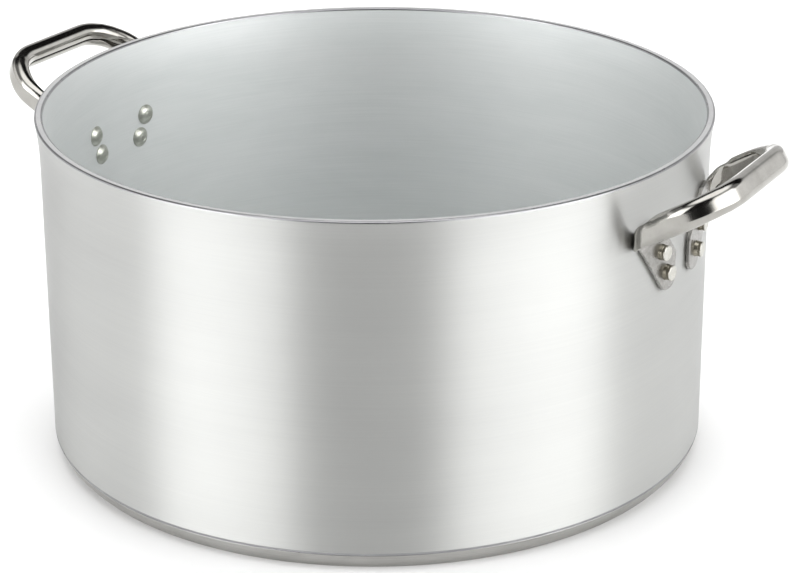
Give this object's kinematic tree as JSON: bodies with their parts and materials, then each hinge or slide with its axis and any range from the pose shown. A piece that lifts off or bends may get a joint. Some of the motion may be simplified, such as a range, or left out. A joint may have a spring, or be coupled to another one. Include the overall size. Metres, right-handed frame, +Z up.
{
  "type": "brew kettle",
  "caption": "Open round aluminium brew kettle with a bevelled base, a flared rim and riveted steel loop handles.",
  "frame": {"origin": "centre of the flat base, on the surface that the kettle stands on", "axes": "+Z up along the axis of the pot; X runs from handle_left to handle_right, each of which is turned 1.35 degrees towards the rear; +Y is the rear"},
  "size_m": [0.4984, 0.4, 0.2099],
  "materials": {
    "pot_aluminium": "satin",
    "handle_steel": "polished",
    "rivet_aluminium": "satin"
  },
  "bodies": {
    "root": {"pot_body": "pot_aluminium", "handle_right": "handle_steel", "handle_left": "handle_steel", "rivet_right_front_upper": "rivet_aluminium", "rivet_right_front_lower": "rivet_aluminium", "rivet_right_rear_upper": "rivet_aluminium", "rivet_right_rear_lower": "rivet_aluminium", "rivet_left_front_upper": "rivet_aluminium", "rivet_left_front_lower": "rivet_aluminium", "rivet_left_rear_upper": "rivet_aluminium", "rivet_left_rear_lower": "rivet_aluminium"}
  },
  "joints": []
}
